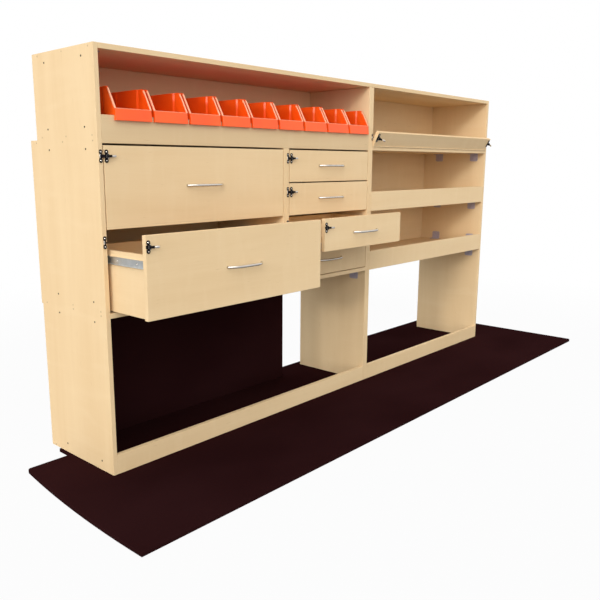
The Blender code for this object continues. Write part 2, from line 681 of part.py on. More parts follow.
def make_drawer(drawer):
    slide = make_empty(f"{drawer.name}_slide", carcass,
                       (drawer.left, -drawer.opening, drawer.foot))
    board = bmesh.new()
    box(board, (0, 0, 0), (drawer.width, BOARD, drawer.height))
    ease_edges(board)
    base = latch_base(linked=drawer.opening == 0)
    bmesh.ops.translate(base, vec=(BASE_REACH, 0, drawer.latch_level), verts=base.verts)
    make_object(f"{drawer.name}_front", combine(board, base, "UNION"), birch, slide)
    make_object(f"{drawer.name}_box", drawer_box(drawer), birch, slide)
    make_object(f"{drawer.name}_handle", handle(), chrome, slide,
                (drawer.width / 2, 0, drawer.height / 2))
    lift = OPEN_LEVER_LIFT if drawer.opening else 0
    make_object(f"{drawer.name}_latch_lever", lever(), chrome, slide,
                (BASE_REACH, -PIN_RISE, drawer.latch_level), (0, 0, -lift))


def hinge_leaf(first_knuckle, foot, top):
    # Leaf plate with every second knuckle rolled at its front. The axis is the mesh's X axis
    front = HINGE_RADIUS + HINGE_GAP
    leaf = bmesh.new()
    box(leaf, (0, front, foot), (FLAP_WIDTH, front + LEAF_WIDTH, top))
    pitch = FLAP_WIDTH / HINGE_KNUCKLES
    tongues = bmesh.new()
    knuckles = bmesh.new()
    for index in range(first_knuckle, HINGE_KNUCKLES, 2):
        start = index * pitch + HINGE_GAP / 2
        end = (index + 1) * pitch - HINGE_GAP / 2
        box(tongues, (start, 0, foot), (end, front + EMBED, top))
        rod(knuckles, (start, 0, 0), (end, 0, 0), HINGE_RADIUS, TUBE_SIDES)
    return fuse(leaf, [tongues, knuckles])


def make_flap():
    axis = (FLAP_LEFT, HINGE_AXIS_Y, HINGE_AXIS_Z)
    flap = make_empty("flap_hinge", carcass, axis, (FLAP_TILT, 0, 0))
    pin = bmesh.new()
    rod(pin, (0, 0, 0), (FLAP_WIDTH, 0, 0), HINGE_PIN_RADIUS)
    fixed = hinge_leaf(0, -HINGE_GAP / 2 - LEAF_SHEET, -HINGE_GAP / 2)
    make_object("flap_hinge_fixed_leaf", combine(fixed, pin, "UNION"), zinc, carcass, axis)
    bore = bmesh.new()
    rod(bore, (-LEAF_WIDTH, 0, 0), (FLAP_WIDTH + LEAF_WIDTH, 0, 0), HINGE_PIN_RADIUS + HINGE_GAP)
    moving = hinge_leaf(1, HINGE_GAP / 2, HINGE_GAP / 2 + LEAF_SHEET)
    make_object("flap_hinge_moving_leaf", combine(moving, bore, "DIFFERENCE"), zinc, flap)
    board = bmesh.new()
    box(board, (0, FLAP_FRONT, FLAP_FOOT), (FLAP_WIDTH, FLAP_FRONT + BOARD, FLAP_FOOT + FLAP_HEIGHT))
    ease_edges(board)
    bases = []
    for x, turn in ((BASE_REACH, 0), (FLAP_WIDTH - BASE_REACH, math.pi)):
        base = latch_base(linked=False)
        place = Matrix.Translation((x, FLAP_FRONT, FLAP_LATCH_LEVEL)) @ Matrix.Rotation(turn, 4, "Y")
        bmesh.ops.transform(base, matrix=place, verts=base.verts)
        bases.append(base)
    make_object("flap_front", fuse(board, bases), birch, flap)
    pin_y = FLAP_FRONT - PIN_RISE
    make_object("flap_latch_lever_left", lever(), chrome, flap,
                (BASE_REACH, pin_y, FLAP_LATCH_LEVEL), (0, 0, -FLAP_LEVER_LIFT))
    make_object("flap_latch_lever_right", lever(), chrome, flap,
                (FLAP_WIDTH - BASE_REACH, pin_y, FLAP_LATCH_LEVEL),
                (0, 0, math.pi + FLAP_LEVER_LIFT))


def bin_outline():
    # Side view from the nose's top down, over the fascia, along the shelf and up the back
    foot = BIN_SHELF_TOP + SEAT_GAP
    nose_foot = FASCIA_TOP - BIN_NOSE_DEPTH
    hook = FASCIA_TOP + BIN_HOOK_GAP
    behind = BOARD + BIN_HOOK_GAP
    top = BIN_SHELF_TOP + BIN_HEIGHT
    return [(-BIN_NOSE_REACH, nose_foot + BIN_NOSE_HEIGHT), (-BIN_NOSE_REACH, nose_foot),
            (-BIN_HOOK_GAP, nose_foot), (-BIN_HOOK_GAP, hook), (behind, hook),
            (behind + BIN_DRAFT, foot), (BIN_REAR - BIN_DRAFT, foot), (BIN_REAR, top),
            (BIN_TOP_FRONT, top)]


def bin_shell():
    # Side faces and the strip between them, open along the top and the sloped front edge
    outline = bin_outline()
    bm = bmesh.new()
    prism(bm, [outline], BIN_WIDTH, FACING_SIDE)
    bmesh.ops.dissolve_limit(bm, angle_limit=FLAT_ANGLE, verts=bm.verts, edges=bm.edges)
    rim = [outline[0], outline[-1], outline[-2]]
    lid = [face for face in bm.faces if len(face.verts) == 4 and all(
        min(math.dist(vert.co.yz, spot) for spot in rim) < WELD_DISTANCE for vert in face.verts)]
    bmesh.ops.delete(bm, geom=lid, context="FACES")
    nose_foot = outline[1][1]
    for vert in bm.verts:
        # The nose's foot is a little wider than the walls behind it
        if vert.co.y < 0 and abs(vert.co.z - nose_foot) < WELD_DISTANCE:
            middle = BIN_WIDTH / 2
            vert.co.x = middle + (vert.co.x - middle) * BIN_NOSE_WIDTH / BIN_WIDTH
    bmesh.ops.triangulate(bm, faces=bm.faces)
    mesh = bpy.data.meshes.new("hook_on_bin")
    bm.to_mesh(mesh)
    bm.free()
    mesh.materials.append(orange_plastic)
    return mesh


def make_bins():
    shell = bin_shell()
    for index in range(BIN_COUNT):
        piece = bpy.data.objects.new(f"bin_{index + 1}", shell)
        collection.objects.link(piece)
        piece.parent = carcass
        piece.location = (BIN_FIRST_LEFT + index * BIN_PITCH, 0, 0)
        wall = piece.modifiers.new("wall", "SOLIDIFY")
        wall.thickness = BIN_WALL
        wall.offset = -1
        wall.use_even_offset = True


for leftover in list(bpy.data.objects):
    bpy.data.objects.remove(leftover)

collection = bpy.data.collections.new("van_racking_system")
bpy.context.scene.collection.children.link(collection)

birch = make_material("birch_plywood", (0.79, 0.565, 0.314), 0.55)
dark_ply = make_material("dark_film_faced_plywood", (0.022, 0.008, 0.008), 0.45)
orange_plastic = make_material("orange_plastic", (0.98, 0.16, 0.05), 0.35)
zinc = make_material("zinc_plated_steel", (0.42, 0.42, 0.40), 0.35, 0.9)
chrome = make_material("bright_chrome", (0.80, 0.80, 0.80), 0.12, 1.0)

# The carcass's datum: its left face, front plane and foot, on top of the floor board
carcass = make_empty("carcass_datum", None,
                     (FLOOR_LEFT_REACH - FLOOR_WIDTH / 2, FLOOR_FRONT_REACH - FLOOR_DEPTH / 2,
                      FLOOR_THICKNESS))

large_drawers = list_large_drawers()
small_drawers = list_small_drawers()
make_uprights(large_drawers, small_drawers)
make_shelves()
make_front_boards()
make_back_panels()
make_floor()
for each_drawer in large_drawers + small_drawers:
    make_drawer(each_drawer)
make_flap()
make_bins()
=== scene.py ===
import math

import bmesh
import bpy
from mathutils import Matrix, Vector


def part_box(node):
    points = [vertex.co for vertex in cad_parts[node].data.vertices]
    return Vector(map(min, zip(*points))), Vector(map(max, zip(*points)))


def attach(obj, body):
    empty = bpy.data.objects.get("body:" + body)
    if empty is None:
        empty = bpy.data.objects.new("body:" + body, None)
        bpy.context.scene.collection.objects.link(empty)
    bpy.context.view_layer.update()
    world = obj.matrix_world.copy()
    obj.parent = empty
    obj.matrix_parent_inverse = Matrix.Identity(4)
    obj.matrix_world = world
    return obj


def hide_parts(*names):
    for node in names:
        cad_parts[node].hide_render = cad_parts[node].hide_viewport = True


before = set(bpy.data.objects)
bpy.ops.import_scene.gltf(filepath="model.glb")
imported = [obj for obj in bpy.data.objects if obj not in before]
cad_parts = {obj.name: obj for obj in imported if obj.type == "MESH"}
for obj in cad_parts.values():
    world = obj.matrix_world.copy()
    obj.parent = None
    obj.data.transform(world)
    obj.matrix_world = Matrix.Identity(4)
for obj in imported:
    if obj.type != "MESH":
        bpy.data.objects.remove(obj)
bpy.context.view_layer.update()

# Axes, and the carcass's own corner: left outer face, front plane, top of the floor board
alongX, alongY, alongZ = 0, 1, 2
datum = Vector((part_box("left_side_panel")[0].x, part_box("top_panel")[0].y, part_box("floor_board")[1].z))
atDatum = Matrix.Translation(datum)
facingFront = Matrix.Rotation(math.pi / 2, 4, "X")    # turns an outline in XY to face the front

# Spots this close are one spot, and lengths this close are equal
sameSpot, sameLength = 0.00001, 0.0001


# Materials

class Wire:
    # One socket of a node tree, with arithmetic that adds Math nodes
    def __init__(self, nodes, socket):
        self.nodes = nodes
        self.socket = socket

    def calculate(self, operation, first, second):
        return self.nodes.node("ShaderNodeMath", {"operation": operation}, {0: first, 1: second})

    def __add__(self, other):
        return self.calculate("ADD", self, other)

    def __radd__(self, other):
        return self.calculate("ADD", other, self)

    def __rsub__(self, other):
        return self.calculate("SUBTRACT", other, self)

    def __mul__(self, other):
        return self.calculate("MULTIPLY", self, other)


class Nodes:
    # A node tree, with one method that adds any node
    def __init__(self, tree):
        self.tree = tree

    def node(self, kind, settings=None, inputs=None, output=0):
        made = self.tree.nodes.new(kind)
        for name, value in (settings or {}).items():
            setattr(made, name, value)
        for key, value in (inputs or {}).items():
            self.join(made.inputs[key], value)
        return Wire(self, made.outputs[output])

    def join(self, socket, value):
        if isinstance(value, Wire):
            self.tree.links.new(value.socket, socket)
        elif hasattr(socket.default_value, "__len__") and len(socket.default_value) == 4:
            socket.default_value = (*value[:3], 1)
        else:
            socket.default_value = value

    def mix(self, share, first, second):
        return self.node("ShaderNodeMix", {"data_type": "RGBA"}, {0: share, 6: first, 7: second}, 2)

    def spread(self, value, low, high, first, second):
        return self.node("ShaderNodeMapRange", {}, {"Value": value, "From Min": low, "From Max": high,
                                                    "To Min": first, "To Max": second})


class Finish(Nodes):
    # A Principled material
    def __init__(self, name, **values):
        self.material = bpy.data.materials.new(name)
        self.material.use_nodes = True
        super().__init__(self.material.node_tree)
        self.shader = self.tree.nodes["Principled BSDF"]
        for socket, value in values.items():
            self.set(socket.replace("_", " "), value)

    def set(self, name, value):
        self.join(self.shader.inputs[name], value)

    def objectPlace(self, *scale):
        # One scale for all three axes, or one for each
        place = self.node("ShaderNodeTexCoord", output="Object")
        return self.node("ShaderNodeMapping", {}, {"Vector": place, "Scale": scale * (3 // len(scale))})

    def grainPlace(self, scale):
        place = self.node("ShaderNodeUVMap", {"uv_map": "grain"})
        return self.node("ShaderNodeMapping", {}, {"Vector": place, "Scale": scale})

    def noise(self, place, detail=2.0, roughness=0.5, distortion=0.0):
        return self.node("ShaderNodeTexNoise", {}, {"Vector": place, "Scale": 1.0, "Detail": detail,
                                                    "Roughness": roughness, "Distortion": distortion})

    def bump(self, height, strength, distance):
        self.set("Normal", self.node("ShaderNodeBump", {}, {"Height": height, "Strength": strength,
                                                            "Distance": distance}))


woodLook = {
    "light": (0.815, 0.597, 0.343),
    "deep": (0.763, 0.539, 0.295),
    "fleck": (0.530, 0.340, 0.176),
    "flame": (0.836, 0.627, 0.374),
}
fasciaPaintedShade = 0.88    # painted shade: the fascia's wood is darkened to stand in for the soft shadow under the bins' noses

# Noises of the veneer: scale along, across and through the grain, then detail, roughness and distortion
veneer = {"bands": ((1.1, 11.0, 1.0), 3.0, 0.55, 0.35), "fibres": ((9.0, 420.0, 1.0), 2.0, 0.6),
          "flame": ((26.0, 5.0, 1.0), 1.0, 0.5, 0.6), "clouds": ((2.2, 3.4, 1.0), 1.0),
          "specks": ((22.0, 260.0, 1.0), 1.0, 0.4)}
lacquer = {"specular": 0.12, "roughness": 0.42, "fibreRoughness": 0.10, "bump": 0.10, "bumpDepth": 0.0004}


def makeWood(name, look):
    # Lacquered pale wood: soft grain bands, fine fibres, cross-grain flame and rare flecks
    wood = Finish(name, Specular_IOR_Level=lacquer["specular"])
    bands, fibres, flame, clouds, specks = (wood.noise(wood.grainPlace(scale), *rest)
                                            for scale, *rest in veneer.values())
    figure = bands * 0.62 + fibres * 0.16 + clouds * 0.22
    color = wood.mix(wood.spread(figure, 0.38, 0.64, 0.0, 1.0), look["deep"], look["light"])
    color = wood.mix(wood.spread(flame, 0.52, 0.78, 0.0, 0.30), color, look["flame"])
    color = wood.mix(wood.spread(specks, 0.72, 0.80, 0.0, 0.30), color, look["fleck"])
    wood.set("Base Color", color)
    wood.set("Roughness", lacquer["roughness"] + fibres * lacquer["fibreRoughness"])
    wood.bump(fibres * 0.7 + bands * 0.3, lacquer["bump"], lacquer["bumpDepth"])
    return wood.material


filmLook = {"base": (0.0180, 0.0050, 0.0052), "pale": (0.0250, 0.0074, 0.0076)}


def makeFilmFaced():
    # Dark phenolic film with a faint woven imprint
    film = Finish("dark_film_faced_plywood", Specular_IOR_Level=0.0)
    clouds = film.noise(film.objectPlace(1.6, 2.6, 2.6), 2.0)
    fine = film.noise(film.objectPlace(180.0), 1.0)
    weave = film.node("ShaderNodeTexVoronoi", {}, {"Vector": film.objectPlace(260.0), "Scale": 1.0,
                                                   "Randomness": 0.25})
    film.set("Base Color", film.mix(film.spread(clouds + fine * 0.2, 0.45, 0.75, 0.0, 1.0),
                                    filmLook["base"], filmLook["pale"]))
    film.set("Roughness", film.spread(clouds, 0.3, 0.7, 0.42, 0.56))
    film.bump(weave, 0.12, 0.0003)
    return film.material


plasticLook = {"base": (0.990, 0.092, 0.003), "pale": (1.0, 0.112, 0.005)}
# Painted highlight: the paler orange of the rims' slopes and nose stands in for the light they catch
rimHighlightLook = {"base": (0.985, 0.400, 0.220), "pale": (0.990, 0.440, 0.260)}


def makeOrange(name, look):
    # Glossy moulded plastic with slow waves and a fine orange-peel surface
    plastic = Finish(name, Specular_IOR_Level=0.62)
    waves = plastic.noise(plastic.objectPlace(9.0), 1.0)
    peel = plastic.noise(plastic.objectPlace(900.0), 1.0)
    plastic.set("Base Color", plastic.mix(plastic.spread(waves, 0.35, 0.65, 0.0, 1.0),
                                          look["base"], look["pale"]))
    plastic.set("Roughness", plastic.spread(waves, 0.3, 0.7, 0.30, 0.38))
    plastic.bump(peel, 0.06, 0.0002)
    return plastic.material


def makeMetal(name, dark, pale, rough, smooth, scale, metallic, specular):
    # Plated or bright metal: slightly clouded, with fine drawn lines
    metal = Finish(name, Metallic=metallic, Specular_IOR_Level=specular)
    clouds = metal.noise(metal.objectPlace(scale), 3.0, 0.6)
    lines = metal.noise(metal.objectPlace(40.0, 900.0, 900.0), 1.0)
    metal.set("Base Color", metal.mix(metal.spread(clouds, 0.35, 0.65, 0.0, 1.0), dark, pale))
    metal.set("Roughness", metal.spread(clouds * 0.7 + lines * 0.3, 0.3, 0.7, smooth, rough))
    metal.bump(lines, 0.04, 0.0001)
    return metal.material


shadedLook = {name: tuple(part * fasciaPaintedShade for part in color) for name, color in woodLook.items()}
maple = makeWood("birch_plywood", woodLook)
# The fascia's darker copy of the wood paints in the shadow that the bins' noses cast on it
fasciaShadowMaple = makeWood("birch_plywood_painted_shadow", shadedLook)
filmFaced = makeFilmFaced()
orange = makeOrange("orange_plastic", plasticLook)
highlightOrange = makeOrange("orange_plastic_painted_highlight", rimHighlightLook)

# Each metal: its dark and pale colours, highest and lowest roughness, size of the clouds, metallic, specular
metalLook = {
    "bright_chrome": ((0.62, 0.58, 0.53), (0.72, 0.68, 0.62), 0.26, 0.16, 30.0, 1.0, 0.5),
    "zinc_plated_steel": ((0.62, 0.63, 0.62), (0.70, 0.71, 0.70), 0.50, 0.38, 60.0, 1.0, 0.5),
    "blue_passivated_steel": ((0.42, 0.36, 0.42), (0.50, 0.44, 0.50), 0.60, 0.50, 60.0, 0.2, 0.2),
    "bronzed_steel": ((0.50, 0.36, 0.21), (0.58, 0.42, 0.25), 0.65, 0.55, 60.0, 0.2, 0.1),
    "brass_plated_steel": ((0.68, 0.51, 0.30), (0.76, 0.57, 0.34), 0.65, 0.55, 60.0, 0.1, 0.1),
    "black_coated_steel": ((0.006, 0.004, 0.005), (0.010, 0.007, 0.008), 0.50, 0.40, 80.0, 0.0, 0.1),
}
chrome, zinc, blued, bronze, brass, blackSteel = (makeMetal(name, *look) for name, look in metalLook.items())
print("materials made")


# Shapes that several pieces share

boardLook = {"ease": 0.0008, "easeSteps": 2, "shift": (1.371, 0.613)}
boardCount = 0    # how many boards have been cut from the veneer
metalSmooth = 40    # degrees up to which the small metal parts shade as one


def outward(bm):
    bmesh.ops.recalc_face_normals(bm, faces=bm.faces)


def ease(bm, width, steps=2, edges=None):
    bmesh.ops.bevel(bm, geom=edges or bm.edges, offset=width, segments=steps, affect="EDGES", profile=0.5,
                    material=-1)


def layGrain(bm, grain):
    # UV in metres: U along the grain, V across it, each board from another part of the veneer
    global boardCount
    boardCount += 1
    layer = bm.loops.layers.uv.new("grain")
    bm.normal_update()
    for face in bm.faces:
        facing = max(range(3), key=lambda axis: abs(face.normal[axis]))
        along = grain if facing != grain else (grain + 1) % 3
        across = 3 - facing - along
        for loop in face.loops:
            spot = loop.vert.co
            loop[layer].uv = (spot[along] + boardCount * boardLook["shift"][0],
                              spot[across] + boardCount * boardLook["shift"][1])


def newObject(name, data):
    made = bpy.data.objects.new(name, data)
    bpy.context.scene.collection.objects.link(made)
    return made


def finished(name, bm, material, body="carcass", replaced=(), smooth=None):
    # Puts the mesh in the scene, on its body. Smooth is the angle up to which faces shade as one
    mesh = bpy.data.meshes.new(name)
    bm.to_mesh(mesh)
    bm.free()
    mesh.materials.append(material)
    if smooth:
        mesh.shade_smooth()
        mesh.set_sharp_from_angle(angle=math.radians(smooth))
    piece = newObject(name, mesh)
    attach(piece, body)
    if replaced:
        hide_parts(*replaced)
    return piece


def addBox(bm, low, high):
    low, high = Vector(low), Vector(high)
    made = bmesh.ops.create_cube(bm, size=1, matrix=Matrix.Translation((low + high) / 2)
                                 @ Matrix.Diagonal((*(high - low), 1)))
    return made["verts"]


def addRod(bm, start, end, radius, sides=20, second=None):
    start, end = Vector(start), Vector(end)
    turn = (end - start).to_track_quat("Z", "Y").to_matrix().to_4x4()
    made = bmesh.ops.create_cone(bm, cap_ends=True, segments=sides, radius1=radius,
                                 radius2=radius if second is None else second,
                                 depth=(end - start).length,
                                 matrix=Matrix.Translation((start + end) / 2) @ turn)
    return made["verts"]


def addPlate(bm, outline, thickness, place):
    # Flat outline in XY, thick along +Z, set at the matrix place
    verts = [bm.verts.new((x, y, 0)) for x, y in outline]
    base = bm.faces.new(verts)
    base.normal_update()
    if base.normal.z > 0:
        base.normal_flip()
    grown = bmesh.ops.extrude_face_region(bm, geom=[base], use_keep_orig=True)["geom"]
    top = [item for item in grown if isinstance(item, bmesh.types.BMVert)]
    bmesh.ops.translate(bm, vec=(0, 0, thickness), verts=top)
    bmesh.ops.transform(bm, matrix=place, verts=verts + top)
    return verts + top


def addBoard(name, low, high, grain, replaced=(), body="carcass", material=None,
             place=None, width=None):
    bm = bmesh.new()
    addBox(bm, low, high)
    ease(bm, width or boardLook["ease"], boardLook["easeSteps"])
    layGrain(bm, grain)
    if place:
        bmesh.ops.transform(bm, matrix=place, verts=bm.verts)
    return finished(name, bm, material or maple, body, replaced)


def roundedStrip(width, height, radius, steps=5):
    # Rectangle centred on the origin with rounded corners
    points = []
    for cornerX, cornerY, start in ((1, 1, 0), (-1, 1, 1), (-1, -1, 2), (1, -1, 3)):
        for step in range(steps + 1):
            angle = (start + step / steps) * math.pi / 2
            points.append((cornerX * (width / 2 - radius) + radius * math.cos(angle),
                           cornerY * (height / 2 - radius) + radius * math.sin(angle)))
    return points


screw = {"sides": 16, "crown": 0.72, "recess": 0.36, "recessDepth": 0.55}    # shares of radius and rise


def addScrew(bm, centre, facing, radius, rise):
    # Conical head with a round recess, standing on centre and looking along facing
    facing = Vector(facing).normalized()
    turn = facing.to_track_quat("Z", "Y").to_matrix().to_4x4()
    before = set(bm.verts)
    bmesh.ops.create_cone(bm, cap_ends=True, segments=screw["sides"], radius1=radius,
                          radius2=radius * screw["crown"], depth=rise,
                          matrix=Matrix.Translation((0, 0, rise / 2)))
    top = max((face for face in bm.faces if all(vert not in before for vert in face.verts)),
              key=lambda face: face.calc_center_median().z)
    bmesh.ops.inset_individual(bm, faces=[top], thickness=radius * screw["recess"],
                                depth=-rise * screw["recessDepth"])
    fresh = [vert for vert in bm.verts if vert not in before]
    bmesh.ops.transform(bm, matrix=Matrix.Translation(centre) @ turn, verts=fresh)


# Boards of the carcass

sides = {"thickness": 0.015, "lowDepth": 0.360, "middleDepth": 0.368, "highDepth": 0.329,
         "firstStep": 0.486, "secondStep": 1.000, "foot": 0.0003}


def standing(x):
    # Stands a profile of depth and height on the floor, thick along X from x
    return Matrix(((0, 0, 1, x), (1, 0, 0, 0), (0, 1, 0, 0), (0, 0, 0, 1)))


def addUpright(name, left, right, top, replaced=()):
    # Full-height side with its stepped rear edge
    low, middle, high = sides["lowDepth"], sides["middleDepth"], sides["highDepth"]
    outline = [(0, sides["foot"]), (low, sides["foot"]), (low, sides["firstStep"]),
               (middle, sides["firstStep"]), (middle, sides["secondStep"]), (high, sides["secondStep"]),
               (high, top), (0, top)]
    bm = bmesh.new()
    addPlate(bm, outline, right - left, atDatum @ standing(left))
    outward(bm)
    ease(bm, boardLook["ease"], boardLook["easeSteps"])
    layGrain(bm, alongZ)
    finished(name, bm, maple, "carcass", replaced)


# Lines are places across the width, tops are heights of the boards' upper faces above the floor board.
# Joint and clearance keep faces from falling together
carcass = {"width": 2.350, "height": 1.250, "centreLine": 1.302, "drawerLine": 0.7812, "baseTop": 0.501,
           "lowerTop": 0.525, "middleTop": 0.751, "unitTop": 0.985, "binShelfTop": 1.015, "shelfLift": 0.0008,
           "kickDrop": 0.0055, "joint": 0.0001, "clearance": 0.0003}
stock, joint, clearance = sides["thickness"], carcass["joint"], carcass["clearance"]
ceiling, centreLine = carcass["height"] - stock, carcass["centreLine"]
addUpright("left_side_board", 0, stock, carcass["height"], ("left_side_panel",))
addUpright("right_side_board", carcass["width"] - stock, carcass["width"], carcass["height"],
           ("right_side_panel",))
addUpright("centre_divider_left_board", centreLine - stock, centreLine - joint, ceiling - clearance,
           ("centre_divider",))
addUpright("centre_divider_right_board", centreLine + joint, centreLine + stock, ceiling - clearance)
backPlane = sides["middleDepth"] - stock - clearance
for side, near, far in (("left", -stock, -joint), ("right", joint, stock)):
    line = carcass["drawerLine"]
    addBoard(f"drawer_divider_{side}_board", datum + Vector((line + near, 0, carcass["baseTop"] + clearance)),
             datum + Vector((line + far, backPlane, carcass["unitTop"] - clearance)), alongZ,
             ("drawer_divider",) if side == "left" else ())

flatBoards = ("top_panel", "bin_shelf", "drawer_unit_top", "base_shelf", "bin_shelf_fascia", "kick_rail_left",
              "kick_rail_right", "upper_right_shelf", "middle_right_shelf", "middle_shelf_lip",
              "lower_shelf_lip", "bin_bay_back", "drawer_unit_back", "upper_right_back", "middle_right_back")
for name in flatBoards:
    low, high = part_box(name)
    high.z -= carcass["kickDrop"] if name.startswith("kick") else 0
    low.z += carcass["shelfLift"] if name.startswith("upper_right") else 0
    high.z += carcass["shelfLift"] if name in ("upper_right_shelf", "middle_right_back") else 0
    # the fascia gets the wood with the painted shadow of the bins' noses
    addBoard(f"{name}_board", low, high, alongX, (name,), material=fasciaShadowMaple if "fascia" in name else maple)

# The lower right shelf is two boards, one on the other
low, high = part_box("lower_right_shelf")
addBoard("lower_right_shelf_board", low, (high.x, high.y, low.z + stock - joint), alongX,
         ("lower_right_shelf",))
addBoard("lower_right_shelf_upper_board", (low.x, low.y, low.z + stock),
         (high.x, high.y, datum.z + carcass["lowerTop"]), alongX)


# Degrees: faces that turn less are one plane, edges that turn more are eased
darkPanels = {"flatAngle": 0.5, "sharpAngle": 30, "floorEase": 0.001, "archEase": 0.0008}


def addDarkPanel(name, node, width):
    # An eased copy of a CAD board, whose outline is kept
    bm = bmesh.new()
    bm.from_mesh(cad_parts[node].data)
    bmesh.ops.remove_doubles(bm, verts=bm.verts, dist=sameSpot)
    bmesh.ops.dissolve_limit(bm, angle_limit=math.radians(darkPanels["flatAngle"]), verts=bm.verts,
                             edges=bm.edges)
    ease(bm, width, edges=[edge for edge in bm.edges if len(edge.link_faces) == 2
                           and edge.calc_face_angle() > math.radians(darkPanels["sharpAngle"])])
    finished(name, bm, filmFaced, "carcass", (node,))


addDarkPanel("floor_board_panel", "floor_board", darkPanels["floorEase"])
addDarkPanel("wheel_arch_board", "wheel_arch_panel", darkPanels["archEase"])
print("carcass boards made")


# Drawers

front = {"thickness": 0.015, "sideGap": 0.0025, "gap": 0.0032, "topTrim": 0.0012, "firstTopTrim": 0.0024,
         "leftTrim": 0.0006, "latchDrop": 0.0323}
boxLook = {"wall": 0.012, "depth": 0.330, "rise": 0.0015, "bottom": 0.006, "bottomRise": 0.0095,
           "bottomEase": 0.0004, "runnerSpace": 0.0127}
largeDrawers = {"name": "large_drawer", "left": stock, "right": carcass["drawerLine"] - stock,
                "openings": (0.0, 0.177), "boxDrop": 0.0565, "runnerLevel": 0.154}
smallDrawers = {"name": "small_drawer", "left": carcass["drawerLine"] + stock, "right": centreLine - stock,
                "openings": (0.0, 0.0, 0.166, 0.0), "boxDrop": 0.021, "runnerLevel": 0.019}


def drawerStack(bay):
    # The drawers of one bay, from the top down
    count = len(bay["openings"])
    height = (carcass["unitTop"] - carcass["baseTop"] - (count + 1) * front["gap"]) / count
    return [{"name": f"{bay['name']}_{row + 1}", "left": bay["left"] + front["sideGap"],
             "width": bay["right"] - bay["left"] - 2 * front["sideGap"], "height": height,
             "foot": carcass["unitTop"] - (row + 1) * (height + front["gap"]), "opening": opening,
             "boxTop": height - bay["boxDrop"], "runner": bay["runnerLevel"],
             "latch": height - front["latchDrop"]} for row, opening in enumerate(bay["openings"])]


drawers = drawerStack(largeDrawers) + drawerStack(smallDrawers)


def addDrawerBoards(item):
    name, width, boxTop = item["name"], item["width"], item["boxTop"]
    place = atDatum @ Matrix.Translation((item["left"], -item["opening"], item["foot"]))
    top = item["height"] - front["firstTopTrim" if name.endswith("_1") else "topTrim"]
    near, far = front["thickness"] + clearance, front["thickness"] + boxLook["depth"]
    outer, wall = boxLook["runnerSpace"] - front["sideGap"], boxLook["wall"]
    rise, floor = boxLook["rise"], boxLook["bottomRise"]
    for part, low, high, grain, replaced, easing in (
            ("front_board", (front["leftTrim"], 0, 0), (width, front["thickness"], top), alongX,
             (f"{name}_front",), None),
            ("left_side", (outer, near, rise), (outer + wall, far, boxTop), alongY, (f"{name}_box",), None),
            ("right_side", (width - outer - wall, near, rise), (width - outer, far, boxTop), alongY, (),
             None),
            ("back_board", (outer + wall, far - wall, floor), (width - outer - wall, far, boxTop), alongX,
             (), None),
            ("bottom_board", (outer + wall, near, floor),
             (width - outer - wall, far - wall, floor + boxLook["bottom"]), alongX, (),
             boxLook["bottomEase"])):
        addBoard(f"{name}_{part}", low, high, grain, replaced, name, place=place, width=easing)


for item in drawers:
    addDrawerBoards(item)
print("drawer boards made")


def channelOutline(height, depth, web, flange):
    # C section open towards +X, with its web on the Y axis
    half = height / 2
    return [(0, -half), (depth, -half), (depth, flange - half), (web, flange - half),
            (web, half - flange), (depth, half - flange), (depth, half), (0, half)]


runner = {"height": 0.030, "reach": 0.0104, "sheet": 0.0012, "length": 0.325, "setback": 0.002,
          "innerHeight": 0.0228, "innerFlange": 0.0075, "runningGap": 0.0004, "ease": 0.0003,
          "screwPlaces": (0.0384, 0.134, 0.230, 0.300), "screwRadius": 0.0032, "screwRise": 0.0014}


def addChannel(name, outline, place, body):
    bm = bmesh.new()
    addPlate(bm, outline, runner["length"], place)
    outward(bm)
    ease(bm, runner["ease"], 1)
    finished(name, bm, zinc, body)


def addRunner(item, side):
    # Side is -1 at the drawer's left and +1 at its right
    name = item["name"]
    end = "left" if side < 0 else "right"
    level = item["foot"] + item["runner"]
    face = item["left"] - front["sideGap"] if side < 0 else item["left"] + item["width"] + front["sideGap"]
    race = (runner["height"] - runner["innerHeight"]) / 2 - runner["runningGap"]
    rear = front["thickness"] + runner["setback"] + runner["length"]
    outline = channelOutline(runner["height"], runner["reach"], runner["sheet"], race)
    place = Matrix.Translation((face, rear, level)) @ Matrix.Diagonal((-side, 1, 1, 1)) @ facingFront
    addChannel(f"{name}_{end}_track", outline, atDatum @ place, "carcass")

    # The drawer's member
    outer = boxLook["runnerSpace"] - front["sideGap"]
    web = outer if side < 0 else item["width"] - outer
    near = front["thickness"] + clearance
    slide = atDatum @ Matrix.Translation((item["left"], -item["opening"], item["foot"]))
    place = (Matrix.Translation((web, near + runner["length"], item["runner"]))
             @ Matrix.Diagonal((side, 1, 1, 1)) @ facingFront)
    outline = channelOutline(runner["innerHeight"], runner["innerFlange"], runner["sheet"], runner["sheet"])
    addChannel(f"{name}_{end}_slide_member", outline, slide @ place, name)

    fixings = bmesh.new()
    for depth in runner["screwPlaces"]:
        spot = slide @ Vector((web + side * runner["sheet"], near + depth, item["runner"]))
        addScrew(fixings, spot, (side, 0, 0), runner["screwRadius"], runner["screwRise"])
    finished(f"{name}_{end}_slide_screws", fixings, chrome, name, smooth=metalSmooth)


handle = {"half": 0.0730, "rise": 0.0258, "fullness": 4.4, "steps": 40, "crowding": 0.72, "sides": 20,
          "width": 0.0042, "thickness": 0.0032, "endWidth": 0.80, "endPower": 6, "footRadius": 0.0046,
          "footHeight": 0.0035, "footSides": 24, "footTaper": 0.82, "footSink": 0.0002, "footLap": 0.001,
          "tangent": 0.01, "smooth": 50}


